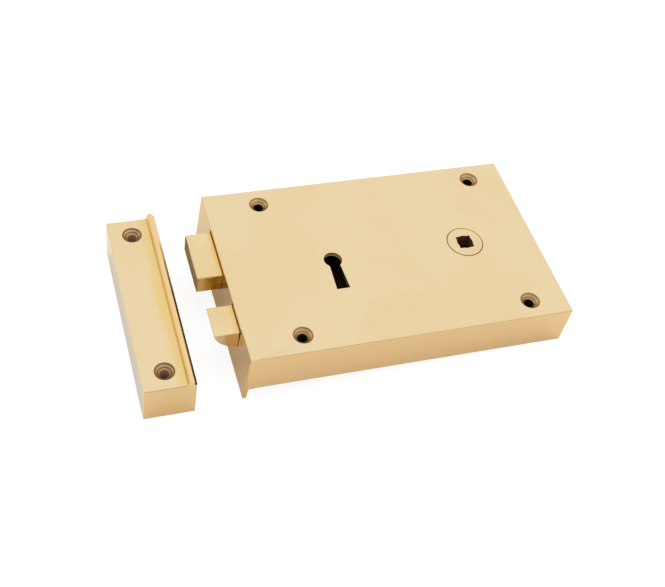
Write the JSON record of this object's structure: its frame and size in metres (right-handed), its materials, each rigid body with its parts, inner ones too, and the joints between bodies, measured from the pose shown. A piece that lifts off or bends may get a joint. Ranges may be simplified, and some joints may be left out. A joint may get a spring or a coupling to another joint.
{
  "type": "rim_lock",
  "caption": "Horizontal rim lock in pale cast brass with a three-lever dead bolt, a spring latch worked by a square spindle, and its separate box keep",
  "frame": {"origin": "the corner of the door between its edge and its face, at the case's lower end: forend edge, lower edge, door face", "axes": "+X from the forend to the rear of the case, along the bolts' travel; +Y up the door; +Z out of the door's face, along the spindle and the key"},
  "size_m": [0.1974, 0.0978, 0.0295],
  "materials": {
    "cast_brass": "satin, lacquered, pale gold",
    "bolt_brass": "satin, machined",
    "lever_brass": "rolled sheet, dull",
    "steel": "dull, oiled",
    "spring_steel": "blued spring steel"
  },
  "bodies": {
    "root": {"case": "cast_brass", "back_plate": "cast_brass", "back_plate_screws": "cast_brass", "keep": "cast_brass", "bolt_guide_post": "steel", "latch_guide_post": "steel", "latch_spring": "spring_steel", "latch_spring_rod": "steel", "lever_post": "steel", "lever_spacers": "steel", "lever_spring_1": "spring_steel", "lever_spring_2": "spring_steel", "lever_spring_3": "spring_steel"},
    "dead_bolt": {"dead_bolt": "bolt_brass", "bolt_stump": "steel"},
    "latch": {"latch_bolt": "bolt_brass", "latch_tail": "steel", "latch_rivets": "steel"},
    "follower": {"follower": "bolt_brass"},
    "lever_1": {"lever_1": "lever_brass"},
    "lever_2": {"lever_2": "lever_brass"},
    "lever_3": {"lever_3": "lever_brass"}
  },
  "joints": [
    {"name": "dead_bolt_throw", "type": "slide", "parent": "root", "child": "dead_bolt", "axis": [1, 0, 0], "range_m": [0, 0.012]},
    {"name": "latch_travel", "type": "slide", "parent": "root", "child": "latch", "axis": [1, 0, 0], "range_m": [0, 0.0116], "stiffness_N_per_m": 400, "springref_m": -0.006, "deforming": ["latch_spring"]},
    {"name": "follower_turn", "type": "hinge", "parent": "root", "child": "follower", "pos_m": [0.117, 0.04825, 0], "axis": [0, 0, 1], "range_deg": [0, 37.6]},
    {"name": "lever_1_lift", "type": "hinge", "parent": "root", "child": "lever_1", "pos_m": [0.09601, 0.069, 0], "axis": [0, 0, -1], "range_deg": [0, 4.41], "deforming": ["lever_spring_1"]},
    {"name": "lever_2_lift", "type": "hinge", "parent": "root", "child": "lever_2", "pos_m": [0.09601, 0.069, 0], "axis": [0, 0, -1], "range_deg": [0, 4.81], "deforming": ["lever_spring_2"]},
    {"name": "lever_3_lift", "type": "hinge", "parent": "root", "child": "lever_3", "pos_m": [0.09601, 0.069, 0], "axis": [0, 0, -1], "range_deg": [0, 5.21], "deforming": ["lever_spring_3"]}
  ],
  "couplings": [
    {"joint": "follower_turn", "follows": "latch_travel", "rad_per_m": 56.555},
    {"joint": "lever_1_lift", "follows": "dead_bolt_throw", "rad_per_m": 6.3995},
    {"joint": "lever_2_lift", "follows": "dead_bolt_throw", "rad_per_m": 6.9813},
    {"joint": "lever_3_lift", "follows": "dead_bolt_throw", "rad_per_m": 7.5631}
  ]
}
